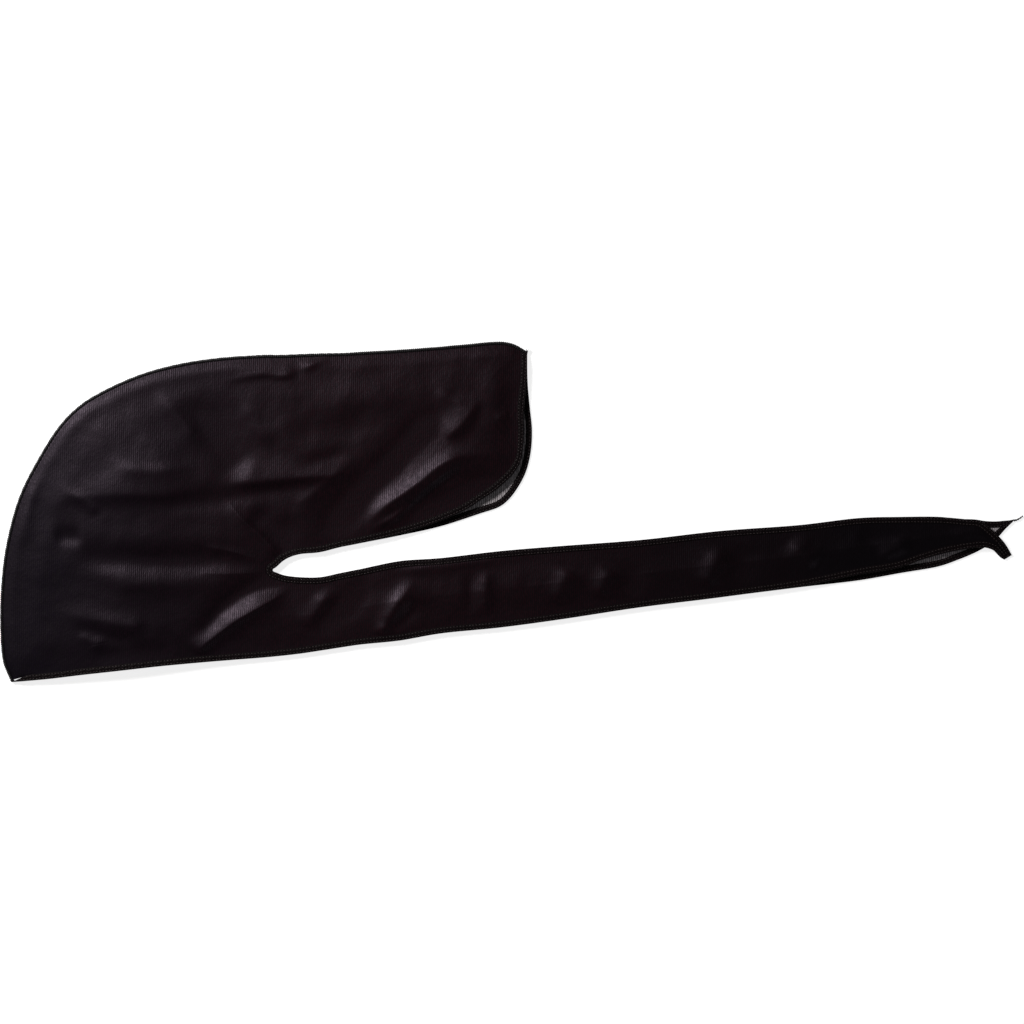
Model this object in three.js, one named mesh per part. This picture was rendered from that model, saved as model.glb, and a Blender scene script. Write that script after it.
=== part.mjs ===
// A durag of thin black satin cloth, lying folded along its centre seam with both tails stretched out.
// Millimetres. X runs from the forehead to the tail tips, Y from the front hem up to the crown, Z up
// from the surface that it lies on. The left side of the cloth is the upper layer, the right the lower.
import * as THREE from "three";

// Lengths of the cloth, all measured from the tip of the slit that parts the back flap from the tail.
const CROWN_LENGTH = 253; // to the forehead end of the centre seam
const CROWN_RISE = 200; // up to the centre seam straight above
const BROW_DROP = 104; // down to the corner at the forehead
const FLAP_LENGTH = 243; // to the end of the back flap
const SLIT_OPENING = 60; // how far the flap's lower corner stands above the slit's tip
const TAIL_LENGTH = 697; // to the tip of the longer tail
const TAIL_WIDTH = 70;
const SLIT_RADIUS = 1.5;

// Cloth, hems and seam
const CLOTH = 1.2;
const HEM_WIDTH = 6;
const HEM_THICKNESS = 2.6;
const SEAM_WIDTH = 3.2;
const SEAM_HEIGHT = 3.8;
const THREAD_END_DIAMETER = 1.8;

// How the two layers lie
const FIT_GAP = 0.3; // between pieces that are sewn edge to edge
const LAYER_GAP = 0.8; // between the two layers' hems
const EDGE_FALL = 14; // width over which a layer comes down from its hem
const SEAM_FALL = 10; // width over which the upper layer comes down to the seam
const FOLD_HEIGHT = 4;
const FOLD_WIDTH = 20;

// Fineness of the faceted cloth
const CELL = 22;
const STATION_STEP = 20;
const LEAST_PANEL = 1.2; // the cloth ends where its hems come nearer each other than this
const LEAST_HEM = 1;
const SLIT_HEM_END = 0.1; // share of FLAP_LENGTH where the slit's hem goes over into the flap's
const FOLD_SAMPLES = 12;

// A table's rows as objects whose keys are the named columns.
const table = (columns, rows) =>
  rows.map((row) => Object.fromEntries(columns.map((name, i) => [name, row[i]])));

// The tails, from the tip to the slit. Along is a share of TAIL_LENGTH; top and bottom are the heights of
// the two edges over the slit's tip, as shares of TAIL_WIDTH. Lift is 1 on the other tail and 0 on the floor.
const TAIL_COLUMNS = ["topAlong", "top", "bottomAlong", "bottom", "lift"];
const SHARED_TAIL = [
  [0.596, 0.52, 0.596, -0.36, 1],
  [0.489, 0.4, 0.489, -0.493, 1],
  [0.383, 0.32, 0.383, -0.653, 1],
  [0.303, 0.253, 0.303, -0.76, 1],
  [0.223, 0.16, 0.223, -0.84, 1],
  [0.169, 0.12, 0.169, -0.933, 1],
  [0.116, 0.013, 0.116, -0.987, 1],
  [0.089, -0.04, 0.089, -1.027, 1],
  [0.063, -0.093, 0.063, -1.067, 1],
  [0.036, -0.093, 0.036, -1.107, 1],
];
const LEFT_TAIL = table(TAIL_COLUMNS, [
  [0.985, 0.2, 0.975, 0.14, 0],
  [0.981, 0.273, 0.97, 0.167, 0.1],
  [0.975, 0.36, 0.965, 0.213, 0.5],
  [0.967, 0.447, 0.96, 0.26, 0.95],
  [0.957, 0.54, 0.955, 0.283, 1],
  [0.948, 0.613, 0.948, 0.3, 1],
  [0.94, 0.66, 0.94, 0.3, 1],
  [0.923, 0.676, 0.923, 0.28, 1],
  [0.896, 0.7, 0.896, 0.227, 1],
  [0.869, 0.707, 0.869, 0.153, 1],
  [0.836, 0.707, 0.836, 0.04, 1],
  [0.783, 0.693, 0.783, -0.053, 1],
  [0.703, 0.6, 0.703, -0.21, 1],
  ...SHARED_TAIL,
]);
const RIGHT_TAIL = table(TAIL_COLUMNS, [
  [0.989, 0.677, 0.986, 0.64, 1],
  [0.983, 0.663, 0.976, 0.54, 1],
  [0.975, 0.656, 0.967, 0.44, 1],
  [0.963, 0.647, 0.955, 0.34, 1],
  [0.949, 0.653, 0.943, 0.267, 1],
  [0.936, 0.673, 0.929, 0.2, 1],
  [0.916, 0.68, 0.914, 0.14, 1],
  [0.889, 0.707, 0.889, 0.053, 1],
  [0.836, 0.707, 0.836, -0.04, 1],
  [0.783, 0.693, 0.783, -0.133, 1],
  [0.703, 0.6, 0.703, -0.227, 1],
  ...SHARED_TAIL,
]);

// The front edge under the crown, from the slit to the forehead corner. X is a share of CROWN_LENGTH, drop
// runs from the tail's lower edge (0) to BROW_DROP (1). The last two columns are the slit's own edge, as
// shares of TAIL_LENGTH and TAIL_WIDTH; without them a section starts at the slit's tip.
const FRONT = table(
  ["x", "drop", "slitAlong", "slitEdge"],
  [
    [-0.018, 0.12, 0.015, -0.067],
    [-0.14, 0.21, 0.005, -0.033],
    [-0.27, 0.31],
    [-0.42, 0.44],
    [-0.56, 0.59],
    [-0.7, 0.74],
    [-0.82, 0.88],
    [-0.91, 0.96],
    [-0.96, 1],
  ],
);

// The centre seam from the forehead corner over the crown to the end of the flap. X is a share of
// CROWN_LENGTH, or of FLAP_LENGTH where it is positive, and y of CROWN_RISE, or of BROW_DROP where it is
// negative. The flap's free edge has a share of FLAP_LENGTH and a height on each side: up to 1 is a share
// of SLIT_OPENING, and 1 to 2 goes up the flap's end.
const SEAM = table(
  ["x", "y", "leftX", "leftY", "rightX", "rightY"],
  [
    [-0.965, -0.97],
    [-0.989, -0.82],
    [-1, -0.45],
    [-0.993, -0.045],
    [-0.974, 0.14],
    [-0.93, 0.34],
    [-0.871, 0.493],
    [-0.783, 0.67],
    [-0.71, 0.763],
    [-0.636, 0.823],
    [-0.489, 0.907],
    [-0.342, 0.958],
    [-0.195, 0.986],
    [-0.06, 0.998, 0.015, 0.054, 0.015, 0.054],
    [-0.03, 1, 0.038, 0.138, 0.038, 0.138],
    [0.038, 1, 0.065, 0.2, 0.065, 0.2],
    [0.115, 1.004, 0.103, 0.246, 0.103, 0.246],
    [0.2, 1.007, 0.18, 0.277, 0.18, 0.277],
    [0.276, 1.009, 0.257, 0.354, 0.257, 0.354],
    [0.341, 1.014, 0.333, 0.415, 0.333, 0.415],
    [0.448, 1.021, 0.479, 0.554, 0.487, 0.538],
    [0.536, 1.028, 0.62, 0.73, 0.64, 0.677],
    [0.609, 1.035, 0.739, 0.938, 0.793, 0.877],
    [0.644, 1.038, 0.793, 1.033, 0.866, 0.98],
    [0.667, 1.041, 0.843, 1.088, 0.9, 1.036],
    [0.693, 1.044, 0.885, 1.147, 0.934, 1.11],
    [0.724, 1.047, 0.921, 1.208, 0.967, 1.216],
    [0.759, 1.051, 0.948, 1.288, 0.986, 1.346],
    [0.797, 1.056, 0.959, 1.425, 0.991, 1.49],
    [0.839, 1.06, 0.96, 1.6, 0.983, 1.634],
    [0.885, 1.06, 0.967, 1.75, 0.975, 1.784],
    [0.927, 1.047, 0.972, 1.89, 0.973, 1.895],
    [0.973, 1.014, 0.973, 2, 0.973, 2],
  ],
);

// Folds of the upper layer over the head. Each runs from the first point by the second to the third, in the
// seam table's shares. Width is a share of FOLD_WIDTH and height of FOLD_HEIGHT; a negative one is a valley.
const HEAD_FOLDS = table(
  ["x1", "y1", "x2", "y2", "x3", "y3", "width", "height"],
  [
    [-0.5, 0.25, -0.52, -0.3, -0.54, -1.05, 3.8, 2.3], // the air in the head pocket, out to its mouth
    [0.25, 0.62, 0.5, 0.55, 0.75, 0.62, 2.6, 0.9], // the air in the flap
    [-0.3, 0.5, -0.05, 0.42, 0.3, 0.45, 0.75, 0.7], // the long crease over the crown
    [-0.9, 0.36, -0.55, 0.35, -0.2, 0.4, 0.7, 0.45],
    [-0.18, 0.35, -0.06, 0.16, 0.05, 0.08, 0.6, 0.9], // the sharp ridge down to the slit
    [-0.3, 0.84, -0.16, 0.55, -0.06, 0.42, 1.3, -0.6],
    [0.36, 0.2, 0.53, 0.4, 0.72, 0.52, 0.8, 1.5], // the two ridges across the flap
    [0.35, 0.16, 0.5, 0.28, 0.72, 0.46, 0.55, 0.7],
    [0.13, 0.16, 0.38, 0.5, 0.68, 0.78, 1.3, -0.8],
    [0.65, 0.62, 0.72, 0.7, 0.8, 0.84, 0.8, 0.9],
    [0.04, -0.16, -0.08, -0.4, -0.24, -0.72, 0.8, 1.4], // the ridge from the slit to the front hem
    [0.05, -0.14, -0.16, -0.3, -0.32, -0.66, 0.8, -0.9],
    [-0.02, 0.02, -0.4, 0.05, -0.72, 0.12, 1, -0.8],
    [-0.84, -0.25, -0.6, -0.4, -0.42, -0.68, 0.8, -0.6],
    [-0.94, 0.1, -0.8, 0.6, -0.45, 0.84, 0.45, 0.9], // the roll along the seam
    [-0.98, -0.6, -1, -0.2, -0.94, 0.12, 0.45, 0.7],
    [-0.45, 0.84, -0.1, 0.94, 0.2, 0.93, 0.45, 0.6],
  ],
);

// Folds of the upper tail. Along is a share of TAIL_LENGTH and side goes from the lower edge (-1) to the
// upper edge (1) of the tail.
const TAIL_FOLDS = table(
  ["along1", "side1", "along2", "side2", "width", "height"],
  [
    [0.09, 0.7, 0.03, -0.6, 0.9, 1.1],
    [0.2, 0.8, 0.13, -0.8, 1.1, 1.5],
    [0.295, 0.8, 0.29, -0.8, 0.7, 0.5],
    [0.4, 0.6, 0.37, -0.4, 0.8, 0.8],
    [0.46, 0.5, 0.43, 0, 0.8, 0.7],
    [0.6, 0.4, 0.585, -0.7, 0.8, 0.7],
    [0.69, 0.9, 0.72, 0.1, 0.7, 0.7],
    [0.84, 0.2, 0.79, -0.3, 0.7, 0.5],
  ],
);

const point = (x, y) => new THREE.Vector3(x, y, 0);
const mix = (a, b, share) => a + (b - a) * share;
const slitCentre = point(SLIT_RADIUS, 0);
const tailPoint = (along, height) => point(along * TAIL_LENGTH, height * TAIL_WIDTH);
const headPoint = (x, y) =>
  point(x * (x < 0 ? CROWN_LENGTH : FLAP_LENGTH), y * (y < 0 ? BROW_DROP : CROWN_RISE));
const flapEdge = (x, y) => {
  const endTop = SEAM.at(-1).y * CROWN_RISE;
  return point(x * FLAP_LENGTH, y <= 1 ? y * SLIT_OPENING : mix(SLIT_OPENING, endTop, y - 1));
};
// The slit's rounded tip, on the side that faces an outer point.
const slitTipTowards = (outer) =>
  outer.clone().sub(slitCentre).setLength(SLIT_RADIUS).add(slitCentre);

// A layer as a ribbon that goes round the slit: rows of an inner point on the slit's side and an outer point.
function ribbonRows(tailRows, side) {
  const slitDrop = tailRows.at(-1).bottom * TAIL_WIDTH;
  const tail = tailRows.map((row) => ({
    inner: tailPoint(row.topAlong, row.top),
    outer: tailPoint(row.bottomAlong, row.bottom),
    lift: row.lift,
  }));
  const front = FRONT.map((row) => {
    const outer = point(row.x * CROWN_LENGTH, mix(slitDrop, -BROW_DROP, row.drop));
    const inner =
      row.slitAlong === undefined ? slitTipTowards(outer) : tailPoint(row.slitAlong, row.slitEdge);
    return { inner, outer, lift: 1 };
  });
  const seam = SEAM.map((row) => {
    const outer = headPoint(row.x, row.y);
    const edgeOf = (layer) =>
      row[layer + "X"] === undefined
        ? slitTipTowards(outer)
        : flapEdge(row[layer + "X"], row[layer + "Y"]);
    return { inner: edgeOf(side), outer, lift: 1, longerEdge: edgeOf("right") };
  });
  const corner = tail.length + front.length - 1;
  const flapStart = corner + 1 + SEAM.findIndex((row) => row.leftX > SLIT_HEM_END);
  return { rows: [...tail, ...front, ...seam], tailEnd: tail.length - 1, corner, flapStart };
}

const smoothCurve = (points) => new THREE.CatmullRomCurve3(points, false, "centripetal");

// Closely spaced stations along the ribbon, with the slants of both edges, so that bands keep their width.
// Both layers have the same stations along the seam, which are spaced by the lower layer's longer flap.
function stationsOf({ rows, corner }) {
  const inner = smoothCurve(rows.map((row) => row.inner));
  const front = smoothCurve(rows.slice(0, corner + 1).map((row) => row.outer));
  const seam = smoothCurve(rows.slice(corner).map((row) => row.outer));
  const last = rows.length - 1;
  const outerCurveAt = (row) =>
    row <= corner ? [front, row / corner] : [seam, (row - corner) / (last - corner)];
  const stations = [];
  for (let k = 0; k < last; k++) {
    const [p, q] = [rows[k], rows[k + 1]];
    const edge = (row) => row.longerEdge ?? row.inner;
    const longest = Math.max(edge(p).distanceTo(edge(q)), p.outer.distanceTo(q.outer));
    const steps = Math.max(1, Math.round(longest / STATION_STEP));
    for (let s = 0; s < steps; s++) stations.push(k + s / steps);
  }
  stations.push(last);
  return stations.map((row) => {
    const [outerCurve, share] = outerCurveAt(row);
    const a = inner.getPoint(row / last);
    const b = outerCurve.getPoint(share);
    const across = b.clone().sub(a);
    const length = across.length();
    across.normalize();
    const k = Math.min(Math.floor(row), last - 1);
    return {
      row,
      inner: a,
      outer: b,
      across,
      length,
      onSeam: row > corner,
      innerSlant: slant(across, inner.getTangent(row / last)),
      outerSlant: slant(across, outerCurve.getTangent(share)),
      seamSlant: slant(across, seam.getTangent(Math.max(0, (row - corner) / (last - corner)))),
      lift: mix(rows[k].lift, rows[k + 1].lift, row - k),
    };
  });
}

// How much longer a band's width is along a section that meets its edge aslant.
const MOST_SLANT = 3;
const slant = (across, tangent) =>
  Math.min(MOST_SLANT, 1 / Math.max(1e-6, Math.abs(across.x * tangent.y - across.y * tangent.x)));

// The widths that hem, cloth and hem or seam take up along each station.
function withBands(stations) {
  return stations.map((station) => {
    let innerBand = HEM_WIDTH * station.innerSlant;
    let outerBand = (station.onSeam ? SEAM_WIDTH : HEM_WIDTH) * station.outerSlant;
    const innerGap = FIT_GAP * station.innerSlant;
    const outerGap = FIT_GAP * station.outerSlant;
    const free = station.length - innerBand - innerGap - outerBand - outerGap;
    const hasPanel = free >= LEAST_PANEL;
    if (!hasPanel && station.onSeam) innerBand = station.length - outerBand - outerGap;
    if (!hasPanel && !station.onSeam) {
      const share = (station.length - outerGap) / (innerBand + outerBand);
      innerBand *= share;
      outerBand *= share;
    }
    return { ...station, innerBand, outerBand, innerGap, outerGap, hasPanel };
  });
}

const along = (station, distance) =>
  station.inner.clone().addScaledVector(station.across, distance);

// Distance from a point to a chain of points, in plan.
const segment = new THREE.Line3();
const nearest = new THREE.Vector3();
function distanceTo(chain, p) {
  let best = Infinity;
  for (let i = 1; i < chain.length; i++) {
    segment.set(chain[i - 1], chain[i]).closestPointToPoint(p, true, nearest);
    best = Math.min(best, nearest.distanceTo(p));
  }
  return best;
}

const ease = (t) => THREE.MathUtils.smoothstep(t, 0, 1);

const foldLine = (a, b, c) => new THREE.QuadraticBezierCurve3(a, b, c).getPoints(FOLD_SAMPLES);
// A fold through three points: the middle one is on the line.
const foldThrough = (a, via, c) =>
  foldLine(a, via.clone().multiplyScalar(2).sub(a.clone().add(c).multiplyScalar(0.5)), c);

function headFolds() {
  return HEAD_FOLDS.map((row) => ({
    line: foldThrough(
      headPoint(row.x1, row.y1),
      headPoint(row.x2, row.y2),
      headPoint(row.x3, row.y3),
    ),
    width: row.width * FOLD_WIDTH,
    height: row.height * FOLD_HEIGHT,
  }));
}

function tailFolds(tailRows) {
  const top = smoothCurve(tailRows.map((row) => tailPoint(row.topAlong, row.top)));
  const bottom = smoothCurve(tailRows.map((row) => tailPoint(row.bottomAlong, row.bottom)));
  const heightAt = (curve, x) => {
    let low = 0;
    let high = 1;
    for (let i = 0; i < 30; i++) {
      const middle = (low + high) / 2;
      if (curve.getPoint(middle).x > x) low = middle;
      else high = middle;
    }
    return curve.getPoint(low).y;
  };
  const place = (share, side) => {
    const x = share * TAIL_LENGTH;
    return point(x, mix(heightAt(bottom, x), heightAt(top, x), (side + 1) / 2));
  };
  return TAIL_FOLDS.map((row) => {
    const from = place(row.along1, row.side1);
    const to = place(row.along2, row.side2);
    return {
      line: foldLine(from, from.clone().lerp(to, 0.5), to),
      width: row.width * FOLD_WIDTH,
      height: row.height * FOLD_HEIGHT,
    };
  });
}

// Ridges and valleys added up, and eased so that the cloth never goes under the height it lies at.
const SOFTEST_FOLD = 0.4;
function foldRise(folds, p) {
  let sum = 0;
  for (const fold of folds) {
    const d = distanceTo(fold.line, p) / fold.width;
    sum += fold.height * Math.exp(-d * d);
  }
  return (sum + Math.sqrt(sum * sum + SOFTEST_FOLD * SOFTEST_FOLD) - SOFTEST_FOLD) / 2;
}

// Heights of the middle of each layer's cloth.
const HEM_LEVEL = HEM_THICKNESS / 2;
const CLOTH_LEVEL = CLOTH / 2;
const UPPER_LEVEL = HEM_LEVEL + HEM_THICKNESS + LAYER_GAP;
const UPPER_SEAM_LEVEL = HEM_LEVEL + CLOTH + LAYER_GAP;
const SEAM_LEVEL = (HEM_LEVEL + UPPER_SEAM_LEVEL) / 2;

// The lower layer: on its hems at the edges, and flat on the floor inside them.
function lowerHeight(edges) {
  return (p) => {
    const inside = distanceTo(edges.all, p) - HEM_WIDTH - FIT_GAP;
    return mix(HEM_LEVEL, CLOTH_LEVEL, ease(inside / EDGE_FALL));
  };
}

// The upper layer: over the lower one's hems, down to the seam, and up over its folds.
function upperHeight(edges, folds) {
  return (p, lift) => {
    const fromSeam = distanceTo(edges.seam, p) / SEAM_FALL;
    const fromHem = Math.max(0, distanceTo(edges.hems, p) - HEM_WIDTH) / SEAM_FALL;
    const down = (UPPER_LEVEL - UPPER_SEAM_LEVEL) * (1 - ease(fromSeam)) * ease(fromHem);
    const level = mix(HEM_LEVEL, UPPER_LEVEL - down, lift);
    return level + foldRise(folds, p) * ease(fromSeam) * lift;
  };
}

// Turns a closed mesh's faces outwards.
function facingOut(positions, index) {
  const geometry = new THREE.BufferGeometry();
  geometry.setAttribute("position", new THREE.Float32BufferAttribute(positions.flat(), 3));
  let volume = 0;
  for (let i = 0; i < index.length; i += 3) {
    const [a, b, c] = [0, 1, 2].map((k) => new THREE.Vector3(...positions[index[i + k]]));
    volume += a.dot(b.cross(c)) / 6;
  }
  geometry.setIndex(volume < 0 ? index.reverse() : index);
  geometry.computeVertexNormals();
  return geometry;
}

// A cloth panel: points along each station, with the strips between stations zipped together, above and below.
function panelGeometry(stations, heightAt) {
  const positions = [];
  const lines = stations.map((station) => {
    const from = station.innerBand + station.innerGap;
    const to = station.length - station.outerBand - station.outerGap;
    const cells = Math.max(1, Math.round((to - from) / CELL));
    return Array.from({ length: cells + 1 }, (_, j) => {
      const p = along(station, mix(from, to, j / cells));
      const z = heightAt(p, station.lift);
      positions.push([p.x, p.y, z + CLOTH / 2], [p.x, p.y, z - CLOTH / 2]);
      return positions.length - 2; // the upper point; the lower one follows it
    });
  });
  const index = [];
  const face = (a, b, c) => index.push(a, b, c, a + 1, c + 1, b + 1);
  const wall = (a, b) => index.push(a, a + 1, b, b, a + 1, b + 1);
  for (let i = 1; i < lines.length; i++) {
    const [p, q] = [lines[i - 1], lines[i]];
    for (let a = 0, b = 0; a < p.length - 1 || b < q.length - 1; ) {
      const stepP = b === q.length - 1 || (a < p.length - 1 && (a + 1) / p.length < (b + 1) / q.length);
      if (stepP) face(p[a], q[b], p[++a]);
      else face(p[a], q[b], q[++b]);
    }
    wall(p[0], q[0]);
    wall(q.at(-1), p.at(-1));
  }
  const closeEnd = (line) => line.slice(1).forEach((b, j) => wall(b, line[j]));
  closeEnd(lines[0]);
  closeEnd([...lines.at(-1)].reverse());
  return facingOut(positions, index);
}

// A band with the same section all along: share goes from the free edge (0) to the cloth (1).
const HEM_SECTION = table(
  ["share", "height"],
  [
    [1, 1],
    [0.25, 1],
    [0, 0.35],
    [0, -0.35],
    [0.25, -1],
    [1, -1],
  ],
);
const SEAM_SECTION = table(
  ["share", "height"],
  [
    [1, 0.8],
    [0.6, 1],
    [0.2, 0.8],
    [0, 0.25],
    [0, -0.25],
    [0.2, -0.8],
    [0.6, -1],
    [1, -0.8],
  ],
);

function bandGeometry(rings) {
  const positions = rings.flat();
  const n = rings[0].length;
  const index = [];
  for (let i = 1; i < rings.length; i++)
    for (let j = 0; j < n; j++) {
      const next = (j + 1) % n;
      const [a, b] = [(i - 1) * n + j, (i - 1) * n + next];
      const [c, d] = [i * n + j, i * n + next];
      index.push(a, c, b, b, c, d);
    }
  const lastRing = (rings.length - 1) * n;
  for (let j = 1; j < n - 1; j++)
    index.push(0, j, j + 1, lastRing, lastRing + j + 1, lastRing + j);
  return facingOut(positions, index);
}

function hemGeometry(stations, side, heightAt) {
  return bandGeometry(
    stations.map((station) =>
      HEM_SECTION.map(({ share, height }) => {
        const width = side === "inner" ? station.innerBand : station.outerBand;
        const p = along(station, side === "inner" ? share * width : station.length - share * width);
        return [p.x, p.y, heightAt(p, station.lift) + (height * HEM_THICKNESS) / 2];
      }),
    ),
  );
}

// The overlocked seam that joins both layers.
function seamGeometry(stations) {
  return bandGeometry(
    stations.map((station) =>
      SEAM_SECTION.map(({ share, height }) => {
        const p = along(station, station.length - share * SEAM_WIDTH * station.seamSlant);
        return [p.x, p.y, SEAM_LEVEL + (height * SEAM_HEIGHT) / 2];
      }),
    ),
  );
}

// Shortens a band at one end, so that it stops a gap short of the band that it meets there.
function stopShort(stations, atEnd, gap) {
  const [end, next] = atEnd ? [stations.at(-1), stations.at(-2)] : [stations[0], stations[1]];
  const shortest = Math.min(end.inner.distanceTo(next.inner), end.outer.distanceTo(next.outer));
  const gone = Math.min(1, gap / shortest);
  const moved = { ...end };
  for (const key of ["inner", "outer", "across"]) moved[key] = end[key].clone().lerp(next[key], gone);
  for (const key of ["length", "innerBand", "outerBand"]) moved[key] = mix(end[key], next[key], gone);
  moved.across = moved.outer.clone().sub(moved.inner).normalize();
  moved.length = moved.outer.distanceTo(moved.inner);
  return atEnd ? [...stations.slice(0, -1), moved] : [moved, ...stations.slice(1)];
}

const materials = {
  cloth: { color: 0x17131a, roughness: 0.5, metalness: 0 },
  hem: { color: 0x121015, roughness: 0.6, metalness: 0 },
  thread: { color: 0x1c181d, roughness: 0.7, metalness: 0 },
};

function mesh(name, geometry, material) {
  const made = new THREE.Mesh(geometry, new THREE.MeshStandardMaterial(materials[material]));
  made.name = name;
  return made;
}

// One side of the durag: its cloth, with the hems of the front, the tail's two edges, the slit and the flap.
function sideOf(side, tailRows) {
  const ribbon = ribbonRows(tailRows, side);
  const stations = withBands(stationsOf(ribbon));
  const stationAt = (row) => stations.findIndex((station) => station.row === row);
  const [tailEndAt, cornerAt, flapAt] = [ribbon.tailEnd, ribbon.corner, ribbon.flapStart].map(stationAt);
  const edges = {
    seam: stations.slice(cornerAt).map((station) => station.outer),
    hems: [
      ...stations.slice(0, cornerAt + 1).map((station) => station.outer).reverse(),
      ...stations.map((station) => station.inner),
    ],
  };
  edges.all = [...edges.hems, ...edges.seam.toReversed()];
  const folds = side === "left" ? [...headFolds(), ...tailFolds(tailRows)] : [];
  const heightAt = side === "left" ? upperHeight(edges, folds) : lowerHeight(edges);
  const hemEnd = stations.findLastIndex((station) => station.innerBand >= LEAST_HEM) + 1;
  const tail = stations.slice(0, tailEndAt + 1);
  const shortened = (from, to) =>
    stopShort(stopShort(stations.slice(from, to + 1), true, FIT_GAP), false, FIT_GAP);
  const hem = (place, part, edge) =>
    mesh(side + "_" + place + "_hem", hemGeometry(part, edge, heightAt), "hem");
  const group = new THREE.Group();
  group.add(
    mesh(
      side + "_side_panel",
      panelGeometry(stations.filter((station) => station.hasPanel), heightAt),
      "cloth",
    ),
    hem("front", shortened(tailEndAt, cornerAt), "outer"),
    hem("tail_lower", tail, "outer"),
    hem("tail_upper", tail, "inner"),
    hem("slit", shortened(tailEndAt, flapAt), "inner"),
    hem("flap", stations.slice(flapAt, hemEnd), "inner"),
  );
  group.userData = { stations, cornerAt };
  return group;
}

// The thread chain that runs off the point of the longer tail.
function threadEnd(stations) {
  const from = stations[0].inner.clone().lerp(stations[0].outer, 0.5);
  const outwards = stations[0].inner.clone().sub(stations[1].inner).normalize();
  from.addScaledVector(outwards, THREAD_END_DIAMETER / 2 + 2 * FIT_GAP);
  const to = point(TAIL_LENGTH - THREAD_END_DIAMETER / 2, from.y + (TAIL_LENGTH - from.x) / 2);
  const along3 = to.clone().sub(from);
  const shape = new THREE.CylinderGeometry(
    THREAD_END_DIAMETER / 2,
    THREAD_END_DIAMETER / 2.6,
    along3.length(),
    8,
  );
  const made = mesh("right_tail_thread_end", shape, "thread");
  made.position.copy(from).lerp(to, 0.5).setZ(HEM_LEVEL);
  made.quaternion.setFromUnitVectors(new THREE.Vector3(0, 1, 0), along3.normalize());
  return made;
}

const left = sideOf("left", LEFT_TAIL);
const right = sideOf("right", RIGHT_TAIL);
const { stations, cornerAt } = right.userData;
const durag = new THREE.Group();
durag.name = "durag";
durag.add(
  left,
  right,
  mesh("center_seam", seamGeometry(stations.slice(cornerAt)), "thread"),
  threadEnd(stations),
);

// The origin is under the middle of the whole piece, on the surface that it lies on.
durag.updateMatrixWorld(true);
const box = new THREE.Box3().setFromObject(durag, true);
const middle = box.getCenter(new THREE.Vector3());
durag.position.set(-middle.x, -middle.y, -box.min.z);

export default durag;
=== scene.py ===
"""A durag of thin black silky cloth, lying folded on a pale studio floor and seen from straight above."""

import math

import bpy
import numpy as np
from bpy.props import FloatProperty, FloatVectorProperty, IntProperty, PointerProperty
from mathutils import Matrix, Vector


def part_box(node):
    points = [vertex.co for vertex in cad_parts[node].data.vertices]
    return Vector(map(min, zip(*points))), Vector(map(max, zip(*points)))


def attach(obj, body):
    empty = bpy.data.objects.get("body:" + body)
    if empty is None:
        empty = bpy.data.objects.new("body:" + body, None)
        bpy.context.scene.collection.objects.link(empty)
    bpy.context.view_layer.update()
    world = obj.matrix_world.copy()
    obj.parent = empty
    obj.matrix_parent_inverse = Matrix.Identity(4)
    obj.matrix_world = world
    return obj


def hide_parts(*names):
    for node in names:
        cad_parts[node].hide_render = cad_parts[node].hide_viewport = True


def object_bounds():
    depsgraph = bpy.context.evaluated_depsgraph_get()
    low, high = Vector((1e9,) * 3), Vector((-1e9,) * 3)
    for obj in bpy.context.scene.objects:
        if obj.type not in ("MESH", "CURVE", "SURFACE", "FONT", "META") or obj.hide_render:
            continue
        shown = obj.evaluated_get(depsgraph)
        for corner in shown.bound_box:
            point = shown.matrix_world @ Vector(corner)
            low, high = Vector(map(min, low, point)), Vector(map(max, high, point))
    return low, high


bl_info = {
    "name": "Folded durag",
    "version": (1, 0, 0),
    "blender": (4, 5, 0),
    "location": "3D View > Sidebar > Durag",
    "description": "Cloth, hems, stitches and seam of a durag that lies folded, with its studio",
    "category": "Object",
}

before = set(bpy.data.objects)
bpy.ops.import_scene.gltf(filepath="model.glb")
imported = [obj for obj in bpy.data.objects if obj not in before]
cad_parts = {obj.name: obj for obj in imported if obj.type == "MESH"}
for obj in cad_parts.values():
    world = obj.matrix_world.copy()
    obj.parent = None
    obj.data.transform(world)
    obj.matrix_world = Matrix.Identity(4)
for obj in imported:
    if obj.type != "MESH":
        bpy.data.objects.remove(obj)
CAD_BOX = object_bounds()
MM = 0.001

# Lengths of the cloth in millimetres, all measured from the tip of the slit between back flap and tail
CROWN_LENGTH = 253.0
CROWN_RISE = 200.0
BROW_DROP = 104.0
FLAP_LENGTH = 243.0
SLIT_OPENING = 60.0
TAIL_LENGTH = 697.0
TAIL_WIDTH = 70.0
SLIT_RADIUS = 1.5
TOP_OF_SEAM = 1.06  # the highest row of the seam, as a share of CROWN_RISE
SLIT_TIP = np.array([CAD_BOX[1][0] / MM - TAIL_LENGTH, CAD_BOX[1][1] / MM - TOP_OF_SEAM * CROWN_RISE])

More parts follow.
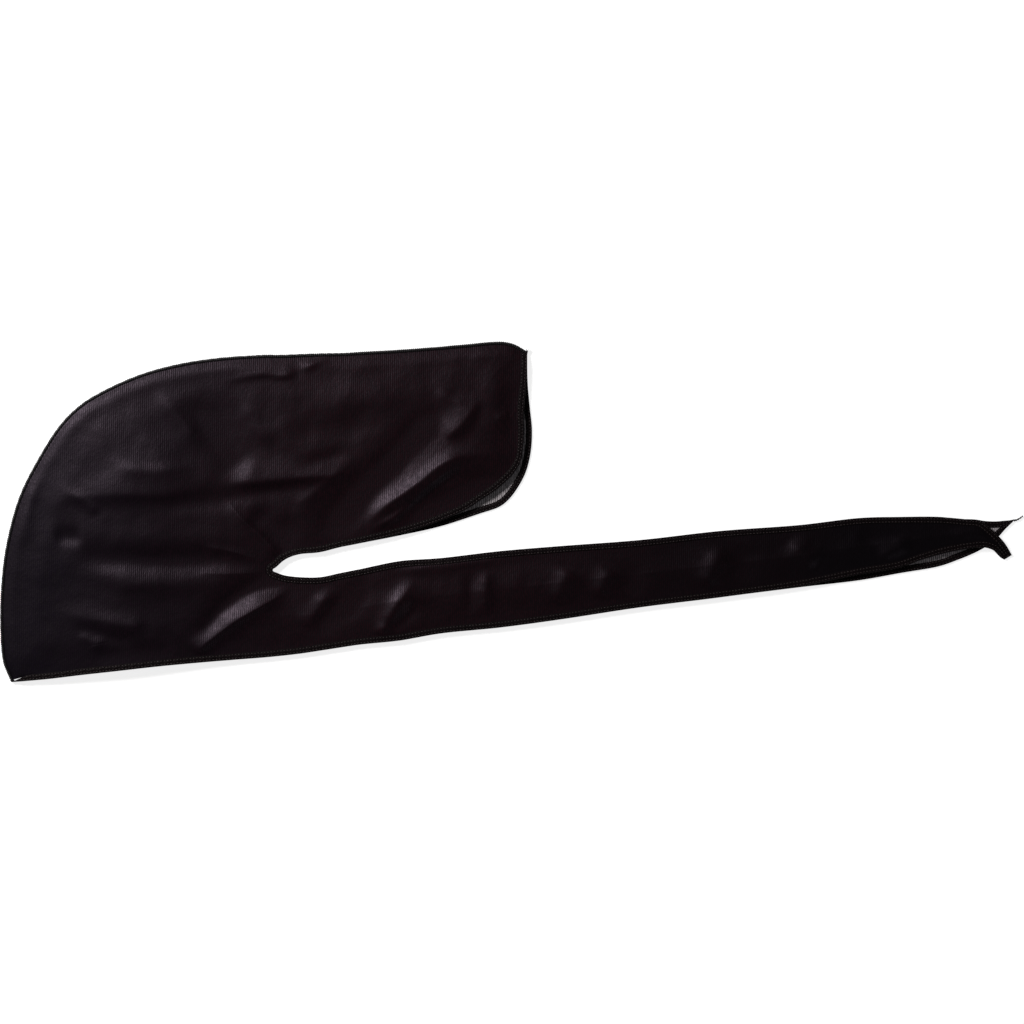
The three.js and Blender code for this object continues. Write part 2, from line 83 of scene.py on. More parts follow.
# The tails from their tips to the slit: the two edges, along as shares of TAIL_LENGTH and up as shares of
# TAIL_WIDTH, and how far the tail lies up on the other one.
SHARED_TAIL = (
    (0.596, 0.52, 0.596, -0.36, 1.0),
    (0.489, 0.4, 0.489, -0.493, 1.0),
    (0.383, 0.32, 0.383, -0.653, 1.0),
    (0.303, 0.253, 0.303, -0.76, 1.0),
    (0.223, 0.16, 0.223, -0.84, 1.0),
    (0.169, 0.12, 0.169, -0.933, 1.0),
    (0.116, 0.013, 0.116, -0.987, 1.0),
    (0.089, -0.04, 0.089, -1.027, 1.0),
    (0.063, -0.093, 0.063, -1.067, 1.0),
    (0.036, -0.093, 0.036, -1.107, 1.0),
)
TAILS = {
    "left": (
        (0.985, 0.2, 0.975, 0.14, 0.0),
        (0.981, 0.273, 0.97, 0.167, 0.1),
        (0.975, 0.36, 0.965, 0.213, 0.5),
        (0.967, 0.447, 0.96, 0.26, 0.95),
        (0.957, 0.54, 0.955, 0.283, 1.0),
        (0.948, 0.613, 0.948, 0.3, 1.0),
        (0.94, 0.66, 0.94, 0.3, 1.0),
        (0.923, 0.676, 0.923, 0.28, 1.0),
        (0.896, 0.7, 0.896, 0.227, 1.0),
        (0.869, 0.707, 0.869, 0.153, 1.0),
        (0.836, 0.707, 0.836, 0.04, 1.0),
        (0.783, 0.693, 0.783, -0.053, 1.0),
        (0.703, 0.6, 0.703, -0.21, 1.0),
        *SHARED_TAIL,
    ),
    "right": (
        (0.989, 0.677, 0.986, 0.64, 1.0),
        (0.983, 0.663, 0.976, 0.54, 1.0),
        (0.975, 0.656, 0.967, 0.44, 1.0),
        (0.963, 0.647, 0.955, 0.34, 1.0),
        (0.949, 0.653, 0.943, 0.267, 1.0),
        (0.936, 0.673, 0.929, 0.2, 1.0),
        (0.916, 0.68, 0.914, 0.14, 1.0),
        (0.889, 0.707, 0.889, 0.053, 1.0),
        (0.836, 0.707, 0.836, -0.04, 1.0),
        (0.783, 0.693, 0.783, -0.133, 1.0),
        (0.703, 0.6, 0.703, -0.227, 1.0),
        *SHARED_TAIL,
    ),
}

# The front edge under the crown: x as a share of CROWN_LENGTH, the drop to the forehead corner, and the
# slit's own edge as shares of TAIL_LENGTH and TAIL_WIDTH (None where a section starts at the slit's tip).
FRONT = (
    (-0.018, 0.12, 0.015, -0.067),
    (-0.14, 0.21, 0.005, -0.033),
    (-0.27, 0.31, None, None),
    (-0.42, 0.44, None, None),
    (-0.56, 0.59, None, None),
    (-0.7, 0.74, None, None),
    (-0.82, 0.88, None, None),
    (-0.91, 0.96, None, None),
    (-0.96, 1.0, None, None),
)

# The centre seam from the forehead to the end of the flap (x, y), then the flap's free edge on the left and
# on the right. Up to 1 an edge's height is a share of SLIT_OPENING, and 1 to 2 goes up the flap's end.
SEAM = (
    (-0.965, -0.97),
    (-0.989, -0.82),
    (-1.0, -0.45),
    (-0.993, -0.045),
    (-0.974, 0.14),
    (-0.93, 0.34),
    (-0.871, 0.493),
    (-0.783, 0.67),
    (-0.71, 0.763),
    (-0.636, 0.823),
    (-0.489, 0.907),
    (-0.342, 0.958),
    (-0.195, 0.986),
    (-0.06, 0.998, 0.015, 0.054, 0.015, 0.054),
    (-0.03, 1.0, 0.038, 0.138, 0.038, 0.138),
    (0.038, 1.0, 0.065, 0.2, 0.065, 0.2),
    (0.115, 1.004, 0.103, 0.246, 0.103, 0.246),
    (0.2, 1.007, 0.18, 0.277, 0.18, 0.277),
    (0.276, 1.009, 0.257, 0.354, 0.257, 0.354),
    (0.341, 1.014, 0.333, 0.415, 0.333, 0.415),
    (0.448, 1.021, 0.479, 0.554, 0.487, 0.538),
    (0.536, 1.028, 0.62, 0.73, 0.64, 0.677),
    (0.609, 1.035, 0.739, 0.938, 0.793, 0.877),
    (0.644, 1.038, 0.793, 1.033, 0.866, 0.98),
    (0.667, 1.041, 0.843, 1.088, 0.9, 1.036),
    (0.693, 1.044, 0.885, 1.147, 0.934, 1.11),
    (0.724, 1.047, 0.921, 1.208, 0.967, 1.216),
    (0.759, 1.051, 0.948, 1.288, 0.986, 1.346),
    (0.797, 1.056, 0.959, 1.425, 0.991, 1.49),
    (0.839, 1.06, 0.96, 1.6, 0.983, 1.634),
    (0.885, 1.06, 0.967, 1.75, 0.975, 1.784),
    (0.927, 1.047, 0.972, 1.89, 0.973, 1.895),
    (0.973, 1.014, 0.973, 2.0, 0.973, 2.0),
)

FLAP_HEM_ROW = 16  # the row of the seam at which the slit's hem goes over into the flap's

# Folds of the upper layer: the points of each crest or valley in millimetres from the slit's tip, the width
# on its left and on its right as one walks along it, its height (negative in a valley) and its sharpness
# (1 is a round wave, and less comes to an edge).
FOLDS = (
    ("head pocket", ((-126, 50), (-131, -31), (-136, -112)), 76, 76, 5.0, 1.0),
    ("flap puff", ((61, 124), (121, 110), (182, 124)), 52, 52, 1.8, 1.0),
    ("long crease, left part", ((-222, 66), (-142, 70), (-100, 70), (-49, 79)), 15, 7, 2.0, 0.8),
    ("long crease, right part", ((-49, 79), (-14, 81), (34, 86), (85, 90)), 17, 5, 3.5, 0.7),
    ("under the long crease", ((-150, 62), (-60, 64), (-14, 72), (40, 78)), 9, 9, -1.5, 1.0),
    ("sharp ridge to the slit", ((-46, 70), (-30, 50), (-10, 31), (2, 19), (12, 15)), 5, 9, 3.0, 0.55),
    ("beside the sharp ridge", ((-20, 60), (0, 40), (30, 30)), 12, 16, -2.2, 1.0),
    ("broad valley of the crown", ((-81, 165), (-56, 134), (-36, 101), (-17, 88)), 16, 16, -3.2, 1.0),
    ("overlap near the top, left", ((-49, 174), (-10, 181), (12, 180), (25, 183)), 9, 2.5, 2.3, 0.5),
    ("overlap near the top, right", ((25, 183), (44, 194), (53, 198)), 8, 2.5, 2.0, 0.5),
    ("patch over the crown", ((-80, 120), (-120, 90), (-170, 85)), 34, 34, 1.9, 1.0),
    ("dark hollow, left", ((-203, 31), (-174, 30)), 9, 7, -2.3, 0.9),
    ("long hollow", ((-180, 25), (-164, 12), (-125, 8), (-61, 8), (-6, 5)), 12, 10, -2.7, 1.0),
    ("over the long hollow", ((-170, 40), (-120, 30), (-60, 30), (-20, 22)), 14, 14, 1.4, 1.0),
    ("below the long hollow", ((-170, -4), (-120, -12), (-60, -10), (-15, -4)), 13, 10, 1.6, 1.0),
    ("valley from the slit", ((21, -14), (-10, -14), (-43, -33), (-61, -52), (-85, -68)), 10, 9, -3.5, 0.9),
    ("ridge from the slit", ((18, -16), (-4, -30), (-36, -49), (-65, -72), (-72, -80)), 6, 12, 4.1, 0.7),
    ("ridge, lower left", ((-203, -39), (-137, -51), (-115, -53)), 9, 9, 1.8, 0.9),
    ("hollow, lower left", ((-190, -48), (-150, -62), (-120, -66)), 9, 8, -1.5, 1.0),
    ("second ridge, lower left", ((-182, -58), (-166, -65), (-152, -72)), 6, 6, 1.4, 0.8),
    ("shallow band over the hem", ((-175, -80), (-130, -80), (-85, -76)), 9, 8, -1.6, 1.0),
    ("flap valley", ((34, 31), (66, 54), (108, 95), (146, 134), (172, 152)), 14, 15, -4.6, 1.0),
    ("big ridge of the flap",
     ((83, 37), (99, 54), (130, 76), (159, 99), (175, 105), (220, 108)), 7, 13, 4.9, 0.7),
    ("under the big ridge", ((100, 44), (130, 63), (160, 84), (185, 92)), 6, 7, -2.7, 0.9),
    ("thin ridge of the flap", ((86, 34), (114, 50), (146, 79), (175, 99)), 4, 6, 3.1, 0.6),
    ("below the thin ridge", ((110, 38), (150, 62), (190, 80), (215, 84)), 9, 12, -1.9, 1.0),
    ("bright patch of the flap", ((194, 163), (175, 134), (156, 121)), 6, 15, 3.2, 0.8),
    ("flap end crease", ((206, 139), (214, 143), (220, 144)), 4, 4, 1.2, 0.7),
    ("flap end wave", ((212, 190), (205, 150), (206, 115)), 12, 12, 1.2, 1.0),
    ("soft wave over the flap", ((40, 150), (80, 158), (130, 160)), 14, 14, 1.5, 1.0),
    ("soft hollow over the flap", ((10, 130), (50, 128), (100, 140)), 14, 14, -1.8, 1.0),
    ("soft wave of the flap", ((-10, 150), (20, 118), (60, 104)), 15, 15, 1.6, 1.0),
    ("first ridge of the tail", ((137, -5), (119, -28), (106, -52), (100, -66)), 16, 8, 4.6, 0.85),
    ("left of the first ridge", ((94, -6), (73, -28), (45, -46), (34, -62)), 13, 10, -3.4, 1.0),
    ("small ridge of the tail", ((57, -12), (42, -40), (30, -56)), 11, 8, 3.0, 0.9),
    ("right of the first ridge", ((140, -22), (119, -47), (100, -58)), 8, 9, -2.6, 1.0),
    ("band across the tail", ((199, 2), (198, -20), (199, -44)), 5, 16, 2.4, 0.7),
    ("before the band", ((186, 2), (184, -20), (186, -44)), 10, 6, -1.8, 1.0),
    ("tail wave 1", ((276, 4), (270, -12), (262, -34)), 11, 9, 2.9, 0.9),
    ("tail wave 2", ((316, 3), (308, -10), (300, -30)), 10, 9, 2.6, 0.8),
    ("tail hollow 2", ((340, 8), (332, -10), (326, -24)), 12, 12, -1.9, 1.0),
    ("tail wave 3", ((418, 26), (408, 0), (402, -18)), 12, 10, 3.0, 0.9),
    ("tail hollow 3", ((440, 26), (436, 8), (430, -12)), 13, 13, -1.8, 1.0),
    ("tail wave 4", ((478, 30), (494, 13), (508, 4)), 11, 10, 2.8, 0.8),
    ("tail wave 5", ((560, 12), (576, 18), (594, 28)), 10, 8, 2.3, 0.8),
    ("tail hollow 5", ((540, 34), (560, 30), (600, 38)), 9, 9, -1.1, 1.0),
    ("sheen under the tail's upper hem", ((104, -2), (160, 5), (229, 12)), 3, 6, 1.6, 0.8),
    ("fine streak over the slit", ((-66, 22), (-40, 18), (-8, 8)), 4, 5, 1.1, 0.7),
    ("fine streak left of the slit", ((-74, -2), (-40, -3), (-6, -2)), 4, 5, 1.0, 0.7),
    ("fold above the long crease", ((-150, 96), (-110, 92), (-70, 96)), 6, 9, 1.4, 0.8),
    ("short fold of the crown", ((-196, 74), (-170, 62), (-160, 50)), 6, 6, 1.2, 0.8),
    ("fold over the broad valley", ((-110, 168), (-84, 140), (-62, 112)), 7, 11, 1.6, 0.8),
    ("fold right of the broad valley", ((-30, 160), (-14, 136), (0, 112)), 11, 7, 1.5, 0.8),
    ("hollow over the flap's valley", ((20, 96), (50, 104), (86, 112)), 8, 8, -1.3, 0.9),
    ("fold over the flap's valley", ((18, 56), (44, 76), (78, 104)), 7, 9, 1.6, 0.7),
    ("short fold of the flap", ((150, 168), (166, 158), (184, 156)), 5, 7, 1.2, 0.8),
    ("rim fold, upper left", ((-214, 118), (-190, 142), (-160, 160)), 8, 5, 1.4, 0.7),
    ("rim fold, left", ((-228, 20), (-226, 56), (-218, 88)), 6, 6, 1.1, 0.8),
    ("tail end wave", ((628, 30), (650, 36), (668, 30)), 7, 7, 1.2, 0.9),
)

# How the cloth lies, in millimetres. A FADE is the distance in which something reaches its full size.
MOST_SLANT = 3.0
LOWER_LEVEL = 0.95
UPPER_LEVEL = 4.2
SEAM_LEVEL = 2.1
SEAM_WIDTH = 3.2
SEAM_HEIGHT = 3.4
HEM_OVERLAP = 2.0  # how far the panel runs on inside its hems
AIR = 2.2  # how high the upper layer stands off between its edges
AIR_REACH = 42.0
SEAM_ROLL = (9.0, 5.0, 0.6)  # the roll's distance from the seam, its width and its height
SOFT_FLOOR = 0.8  # how gently the cloth comes down on what it lies on
CREASE_WIDTH = 50.0  # a fold that is wider is air under the cloth, and runs out to its mouth
SEAM_FOLD_FADE = 12.0  # folds, from the seam
HEM_FOLD_FADE = 14.0  # folds, from the hems
FOLDS_ON_HEM = 0.3  # the share of a fold's height that is left on a hem
AIR_FADE = 40.0  # air, from the seam
LEVEL_FADE = 15.0  # the upper layer's own level, from the seam
ROLL_END = 80.0  # x at which the seam's roll has run out
ROLL_FADE = 120.0
LOWER_WAVES = (30.0, 0.25)  # wavelength and height
LOWER_SAG = 0.2  # how much lower the lower layer lies than its hems
LOWER_FLAT = (4.0, 14.0)  # where the sag begins, from the edge, and its fade
SEAM_LIFT_WIDTH = 5.0
WRINKLES = ((58.0, 0.8), (24.0, 0.45), (11.0, 0.18), (5.0, 0.05))  # wavelength and height at each scale

# Fineness
CLOTH_STEP = 2.6
CLOTH_ACROSS = 78
BAND_STEP = 1.6
LINE_SAMPLES = 28


def smooth(t):
    """The smooth step from 0 to 1 with level ends: t squared times (3 - 2t), with t kept in 0 to 1."""
    t = np.clip(t, 0.0, 1.0)
    return t * t * (3.0 - 2.0 * t)


def lengths(vectors):
    return np.linalg.norm(vectors, axis=-1)


def curve_through(points, at):
    """A centripetal Catmull-Rom curve: cubics between the rows, with slopes that follow the rows around."""
    points = np.asarray(points, float)
    padded = np.vstack([2 * points[0] - points[1], points, 2 * points[-1] - points[-2]])
    start = np.clip(np.floor(at).astype(int), 0, len(points) - 2)
    t = (at - start)[:, None]
    p0, p1, p2, p3 = (padded[start + i] for i in range(4))
    d0, d1, d2 = (
        np.sqrt(np.maximum(lengths(b - a), 1e-4))[:, None] for a, b in ((p0, p1), (p1, p2), (p2, p3))
    )
    out = ((p1 - p0) / d0 - (p2 - p0) / (d0 + d1) + (p2 - p1) / d1) * d1
    into = ((p2 - p1) / d1 - (p3 - p1) / (d1 + d2) + (p3 - p2) / d2) * d1
    rise = p2 - p1
    return p1 + t * (out + t * ((3 * rise - 2 * out - into) + t * (out + into - 2 * rise)))


def tail_point(along, height):
    return np.array([along * TAIL_LENGTH, height * TAIL_WIDTH])


def head_point(x, y):
    across = CROWN_LENGTH if x < 0 else FLAP_LENGTH
    return np.array([x * across, y * (BROW_DROP if y < 0 else CROWN_RISE)])


def flap_edge(x, y):
    end_top = SEAM[-1][1] * CROWN_RISE
    height = y * SLIT_OPENING if y <= 1 else SLIT_OPENING + (y - 1) * (end_top - SLIT_OPENING)
    return np.array([x * FLAP_LENGTH, height])


def slit_tip_towards(outer):
    centre = np.array([SLIT_RADIUS, 0.0])
    away = outer - centre
    return centre + away * (SLIT_RADIUS / np.linalg.norm(away))


def ribbon(side):
    """A layer as a ribbon round the slit: rows of a point on the slit's side, an outer point and the lift."""
    rows = [(tail_point(a, b), tail_point(c, d), lift) for a, b, c, d, lift in TAILS[side]]
    slit_drop = rows[-1][1][1]
    for x, drop, along, edge in FRONT:
        outer = np.array([x * CROWN_LENGTH, slit_drop + drop * (-BROW_DROP - slit_drop)])
        inner = slit_tip_towards(outer) if along is None else tail_point(along, edge)
        rows.append((inner, outer, 1.0))
    corner = len(rows) - 1
    for row in SEAM:
        outer = head_point(row[0], row[1])
        edge = row[2:4] if side == "left" else row[4:6]
        rows.append((flap_edge(*edge) if edge else slit_tip_towards(outer), outer, 1.0))
    inner, outer, lift = (np.array(column) for column in zip(*rows))
    return inner, outer, lift, corner


def slant(across, tangent):
    """How much longer a band's width is along a section that meets its edge aslant: 1 over the sine."""
    sine = np.abs(across[:, 0] * tangent[:, 1] - across[:, 1] * tangent[:, 0]) / lengths(tangent)
    return np.minimum(MOST_SLANT, 1.0 / np.maximum(sine, 1e-6))


def stations(side, step):
    """Stations along the ribbon, at most a step apart on both edges, on the curves through its rows."""
    inner, outer, lift, corner = ribbon(side)
    longest = np.maximum(lengths(np.diff(inner, axis=0)), lengths(np.diff(outer, axis=0)))
    counts = np.maximum(1, np.ceil(longest / step)).astype(int)
    at = np.concatenate([k + np.arange(c) / c for k, c in enumerate(counts)] + [[len(inner) - 1]])
    a = curve_through(inner, at)
    front = curve_through(outer[: corner + 1], np.minimum(at, corner))
    seam = curve_through(outer[corner:], np.maximum(at - corner, 0.0))
    on_seam = at > corner
    b = np.where(on_seam[:, None], seam, front)
    reach = np.maximum(lengths(b - a), 1e-3)
    across = (b - a) / reach[:, None]
    last_front = int(np.argmax(at >= corner))
    front_tangent = np.gradient(b[: last_front + 1], axis=0)
    seam_tangent = np.gradient(b[last_front:], axis=0)
    outer_tangent = np.vstack([front_tangent, seam_tangent[1:]])
    return {
        "at": at,
        "inner": a,
        "outer": b,
        "across": across,
        "reach": reach,
        "on_seam": on_seam,
        "corner": last_front,
        "flap": int(np.argmax(at >= corner + 1 + FLAP_HEM_ROW)),
        "inner_slant": slant(across, np.gradient(a, axis=0)),
        "outer_slant": slant(across, outer_tangent),
        "lift": np.interp(at, np.arange(len(lift)), lift),
    }


def bands(line, hem_width):
    """The widths along each station that the inner hem and the outer hem or seam take up."""
    inner = hem_width * line["inner_slant"]
    outer = np.where(line["on_seam"], SEAM_WIDTH, hem_width) * line["outer_slant"]
    share = np.minimum(1.0, line["reach"] / (inner + outer))
    return inner * share, outer * share


def distance_to(line, points):
    """Distance to a chain of points, the share along it, and the side: 1 on its left, -1 on its right."""
    a, b = line[:-1], line[1:]
    run = b - a
    square = np.maximum((run**2).sum(axis=1), 1e-9)
    best = np.full(len(points), np.inf)
    share = np.zeros(len(points))
    side = np.ones(len(points))
    for i in range(len(a)):  # over the line's few stretches, with all points at once
        offset = points - a[i]
        t = np.clip(offset @ run[i] / square[i], 0.0, 1.0)
        gap = ((offset - t[:, None] * run[i]) ** 2).sum(axis=1)
        nearer = gap < best
        best[nearer] = gap[nearer]
        share[nearer] = (i + t[nearer]) / len(a)
        cross = run[i][0] * offset[:, 1] - run[i][1] * offset[:, 0]
        side[nearer] = np.where(cross[nearer] < 0, -1.0, 1.0)
    return np.sqrt(best), share, side


def fold_rise(points):
    """Sums of creases and of air. Each is its height times exp(-(distance / width) ** (2 sharpness)), and a
    crease fades out over the last third of its line at both ends."""
    creases = np.zeros(len(points))
    air = np.zeros(len(points))
    for _, line, left, right, height, sharpness in FOLDS:
        samples = curve_through(line, np.linspace(0, len(line) - 1, LINE_SAMPLES))
        reach = 3.0 * max(left, right)
        near = np.all((points > samples.min(axis=0) - reach) & (points < samples.max(axis=0) + reach), axis=1)
        distance, share, side = distance_to(samples, points[near])
        width = np.where(side > 0, left, right)
        wave = height * np.exp(-((distance / width) ** (2.0 * sharpness)))
        if max(left, right) > CREASE_WIDTH:
            air[near] += wave
        else:
            creases[near] += wave * smooth(share * 3.0) * smooth((1.0 - share) * 3.0)
    return creases, air


def wrinkle_noise(points, wavelength, seed):
    """Smooth noise from -1 to 1: slopes drawn at the corners of a square grid, blended in between."""
    rng = np.random.default_rng(seed)
    slopes = rng.uniform(-1.0, 1.0, (64, 64, 2))
    cell = points / wavelength + 1000.0
    corner = np.floor(cell).astype(int)
    part = cell - corner
    blend = smooth(part)
    total = np.zeros(len(points))
    for i in (0, 1):
        for j in (0, 1):
            slope = slopes[(corner[:, 0] + i) % 64, (corner[:, 1] + j) % 64]
            weight = np.abs(1 - i - blend[:, 0]) * np.abs(1 - j - blend[:, 1])
            total += weight * (slope * (part - (i, j))).sum(axis=1)
    return 1.6 * total


def edge_lines(side):
    """The seam's line and the line of all hems, as chains of points."""
    line = stations(side, 8.0)
    corner = line["corner"]
    hems = np.vstack([line["outer"][: corner + 1][::-1], line["inner"]])
    return line["outer"][corner:], hems


EDGES = {side: edge_lines(side) for side in ("left", "right")}


def upper_height(points, lift):
    """Middle of the upper layer: from the seam up to its own level, with air, folds and wrinkles on top."""
    seam, hems = EDGES["left"]
    from_seam = distance_to(seam, points)[0]
    from_hem = distance_to(hems, points)[0]
    creases, air = fold_rise(points)
    off_hems = FOLDS_ON_HEM + (1.0 - FOLDS_ON_HEM) * smooth(from_hem / HEM_FOLD_FADE)
    off_edges = smooth(from_seam / SEAM_FOLD_FADE) * off_hems
    noise = sum(height * wrinkle_noise(points, wave, 7 + i) for i, (wave, height) in enumerate(WRINKLES))
    inside = AIR * smooth(np.minimum(from_seam, from_hem) / AIR_REACH)
    at, width, height = SEAM_ROLL
    over_head = smooth((ROLL_END - points[:, 0]) / ROLL_FADE)
    roll = height * np.exp(-(((from_seam - at) / width) ** 2)) * over_head
    rise = inside + creases * off_edges + noise * off_edges + roll
    rise = (rise + np.sqrt(rise**2 + SOFT_FLOOR**2)) / 2 + air * smooth(from_seam / AIR_FADE)
    level = SEAM_LEVEL + (UPPER_LEVEL - SEAM_LEVEL) * smooth(from_seam / LEVEL_FADE)
    return LOWER_LEVEL + (level + rise - LOWER_LEVEL) * lift


def lower_height(points, lift):
    """Middle of the lower layer: on its hems at the edges and nearly on the floor inside them."""
    seam, hems = EDGES["right"]
    from_edge = np.minimum(distance_to(seam, points)[0], distance_to(hems, points)[0])
    wavelength, height = LOWER_WAVES
    start, fade = LOWER_FLAT
    waves = height * wrinkle_noise(points, wavelength, 3)
    inside = smooth((from_edge - start) / fade)
    at_seam = np.exp(-((distance_to(seam, points)[0] / SEAM_LIFT_WIDTH) ** 2))
    return LOWER_LEVEL + inside * (waves - LOWER_SAG) + (SEAM_LEVEL - LOWER_LEVEL) * at_seam


HEIGHTS = {"left": upper_height, "right": lower_height}


def lifted(points, height):
    """Points on the cloth in the frame, in metres, from their plan in millimetres and their height."""
    return np.concatenate([points + SLIT_TIP, height[..., None]], axis=-1) * MM


def add_mesh(name, points, faces, materials, face_materials=None):
    mesh = bpy.data.meshes.new(name)
    mesh.from_pydata(points.reshape(-1, 3).tolist(), [], faces if isinstance(faces, list) else faces.tolist())
    for material in materials:
        mesh.materials.append(material)
    if face_materials is not None:
        mesh.polygons.foreach_set("material_index", np.asarray(face_materials, np.int32))
    mesh.polygons.foreach_set("use_smooth", np.ones(len(mesh.polygons), bool))
    mesh.update()
    piece = bpy.data.objects.new(name, mesh)
    bpy.context.scene.collection.objects.link(piece)
    return piece


def closed_sheet(name, top, bottom, materials):
    """A sheet with a face above and a face below, on the same grid, closed by a wall round its border."""
    rows, columns = top.shape[:2]
    index = np.arange(rows * columns).reshape(rows, columns)
    quads = np.stack([index[:-1, :-1], index[1:, :-1], index[1:, 1:], index[:-1, 1:]], axis=-1).reshape(-1, 4)
    under = quads[:, ::-1] + index.size
    rim = np.concatenate([index[0], index[1:, -1], index[-1, -2::-1], index[-2:0:-1, 0]])
    ahead = np.roll(rim, -1)
    wall = np.stack([rim, ahead, ahead + index.size, rim + index.size], axis=-1)
    points = np.concatenate([top.reshape(-1, 3), bottom.reshape(-1, 3)])
    a, b, c = (top.reshape(-1, 3)[quads[len(quads) // 2][i]] for i in range(3))
    if np.cross(b - a, c - b)[2] < 0:
        quads, under, wall = quads[:, ::-1], under[:, ::-1], wall[:, ::-1]
    kinds = np.concatenate([np.zeros(len(quads)), np.ones(len(under)), np.zeros(len(wall))]).astype(int)
    return add_mesh(name, points, np.concatenate([quads, under, wall]), materials, kinds)


def swept(name, rings, materials):
    """A closed band: the same ring of points carried along a path, with a flat cap on both ends."""
    count, around = rings.shape[:2]
    index = np.arange(count * around).reshape(count, around)
    ahead = np.roll(index, -1, axis=1)
    quads = np.stack([index[:-1], ahead[:-1], ahead[1:], index[1:]], axis=-1).reshape(-1, 4)
    faces = quads.tolist() + [index[0][::-1].tolist(), index[-1].tolist()]
    piece = add_mesh(name, rings, faces, materials)
    face_outwards(piece)
    return piece


def face_outwards(piece):
    """Turns the whole mesh over if the volume that its faces close in comes out negative."""
    mesh = piece.data
    mesh.calc_loop_triangles()
    points = np.empty(len(mesh.vertices) * 3)
    mesh.vertices.foreach_get("co", points)
    triangles = np.empty(len(mesh.loop_triangles) * 3, np.int32)
    mesh.loop_triangles.foreach_get("vertices", triangles)
    a, b, c = np.moveaxis(points.reshape(-1, 3)[triangles.reshape(-1, 3)], 1, 0)
    if np.einsum("ij,ij->i", a, np.cross(b, c)).sum() < 0:
        mesh.flip_normals()


def copies(name, template, faces, origins, axes, materials):
    """One joined mesh of a small template, repeated: its x, y and z run along each copy's three axes."""
    points = origins[:, None, :] + np.einsum("pk,nkc->npc", template, axes)
    step = np.arange(len(origins)) * len(template)
    joined = [[v + int(s) for v in face] for s in step for face in faces]
    return add_mesh(name, points, joined, materials)


# The hem's section: share of its width from the free edge, and share of half its thickness. The two dips
# are where the rows of stitches pull it in.
HEM_PROFILE = (
    (0.0, 0.3),
    (0.03, 0.75),
    (0.1, 1.0),
    (0.2, 0.98),
    (0.28, 0.72),
    (0.36, 0.98),
    (0.52, 1.0),
    (0.68, 0.98),
    (0.77, 0.66),
    (0.86, 0.95),
    (0.96, 0.8),
    (1.0, 0.3),
)
HEM_NODES = {"front": ("front", "tail_lower"), "tail": ("tail_upper", "slit"), "flap": ("flap",)}
STITCH_ROWS = (0.28, 0.77)
PUCKER = (8.5, 0.14)  # wavelength of the hem's puckers in millimetres, and their share of its thickness
STITCH_SIZE = (0.95, 0.3, 0.24)  # half length, half width and half height
LOOP_PITCH = 1.9
LOOP_RADIUS = 0.3
THREAD_TWIST = 2.4
THREAD_RADIUS = 0.78
THREAD_TAPER = 0.3  # the share of its radius that the thread end loses by its tip
THREAD_LOBES = 0.35  # how far its two lobes stand out, as a share of its radius
THREAD_BOW = (0.0, -0.7, 0.2)

# The cloth's grain in metres: from one rib to the next, and how deep the grain is
RIB_PITCH = 0.0019
GRAIN_DEPTH = 0.0003


def hem_path(side, which):
    """A hem's stations: its free edge, the direction into the cloth, its width and its lift."""
    line = stations(side, BAND_STEP)
    inner, outer = bands(line, sizes().hem_width / MM)
    if which == "front":
        part = slice(0, line["corner"] + 1)
        return line["outer"][part], -line["across"][part], outer[part], line["lift"][part]
    part = slice(0, line["flap"] + 1) if which == "tail" else slice(line["flap"], None)
    return line["inner"][part], line["across"][part], inner[part], line["lift"][part]


def hem_rings(side, which):
    """The hem's section carried along its edge, with its thickness waved a little by the puckers."""
    edge, inward, width, lift = hem_path(side, which)
    shares, heights = np.array(HEM_PROFILE).T
    shares = np.concatenate([shares, shares[::-1]])
    heights = np.concatenate([heights, -heights[::-1]])
    plan = edge[:, None, :] + inward[:, None, :] * (width[:, None] * shares)[..., None]
    walked = np.concatenate([[0.0], np.cumsum(lengths(np.diff(edge, axis=0)))])
    wavelength, depth = PUCKER
    noise = wrinkle_noise(np.stack([walked, 0 * walked], axis=1), 23.0, 11)
    swell = 1.0 + depth * np.sin(2 * math.pi * walked / wavelength + 2.5 * noise)
    middle = HEIGHTS[side](plan.reshape(-1, 2), np.repeat(lift, len(shares))).reshape(len(edge), -1)
    half = sizes().hem_thickness / MM / 2
    return lifted(plan, middle + half * heights * swell[:, None])


def spaced(path, pitch):
    """Points at even spacing along a path, with the unit vector along it at each."""
    walked = np.concatenate([[0.0], np.cumsum(lengths(np.diff(path, axis=0)))])
    places = np.arange(pitch / 2, walked[-1], pitch)

    def path_at(walk):
        return np.stack([np.interp(walk, walked, column) for column in path.T], axis=1)

    along = path_at(places + pitch / 4) - path_at(places - pitch / 4)
    return path_at(places), along / np.maximum(lengths(along), 1e-9)[:, None]


def frames(along):
    """Three unit axes at each point: along the path, level to its left, and up from the cloth."""
    left = np.cross([0.0, 0.0, 1.0], along)
    left /= np.maximum(lengths(left), 1e-9)[:, None]
    return np.stack([along, left, np.cross(along, left)], axis=1)


def stitch_template():
    """A lozenge: two rings of six points between two poles, as long, wide and high as a stitch."""
    turn = np.arange(6) * (math.pi / 3)
    ring = np.stack([0 * turn, np.cos(turn), np.sin(turn)], axis=1)
    points = np.vstack([[[-1.0, 0, -0.4]], ring - [0.55, 0, 0], ring + [0.55, 0, 0], [[1.0, 0, -0.4]]])
    faces = [[0, 1 + (i + 1) % 6, 1 + i] for i in range(6)]
    faces += [[1 + i, 1 + (i + 1) % 6, 7 + (i + 1) % 6, 7 + i] for i in range(6)]
    faces += [[7 + i, 7 + (i + 1) % 6, 13] for i in range(6)]
    return points * STITCH_SIZE * MM, faces


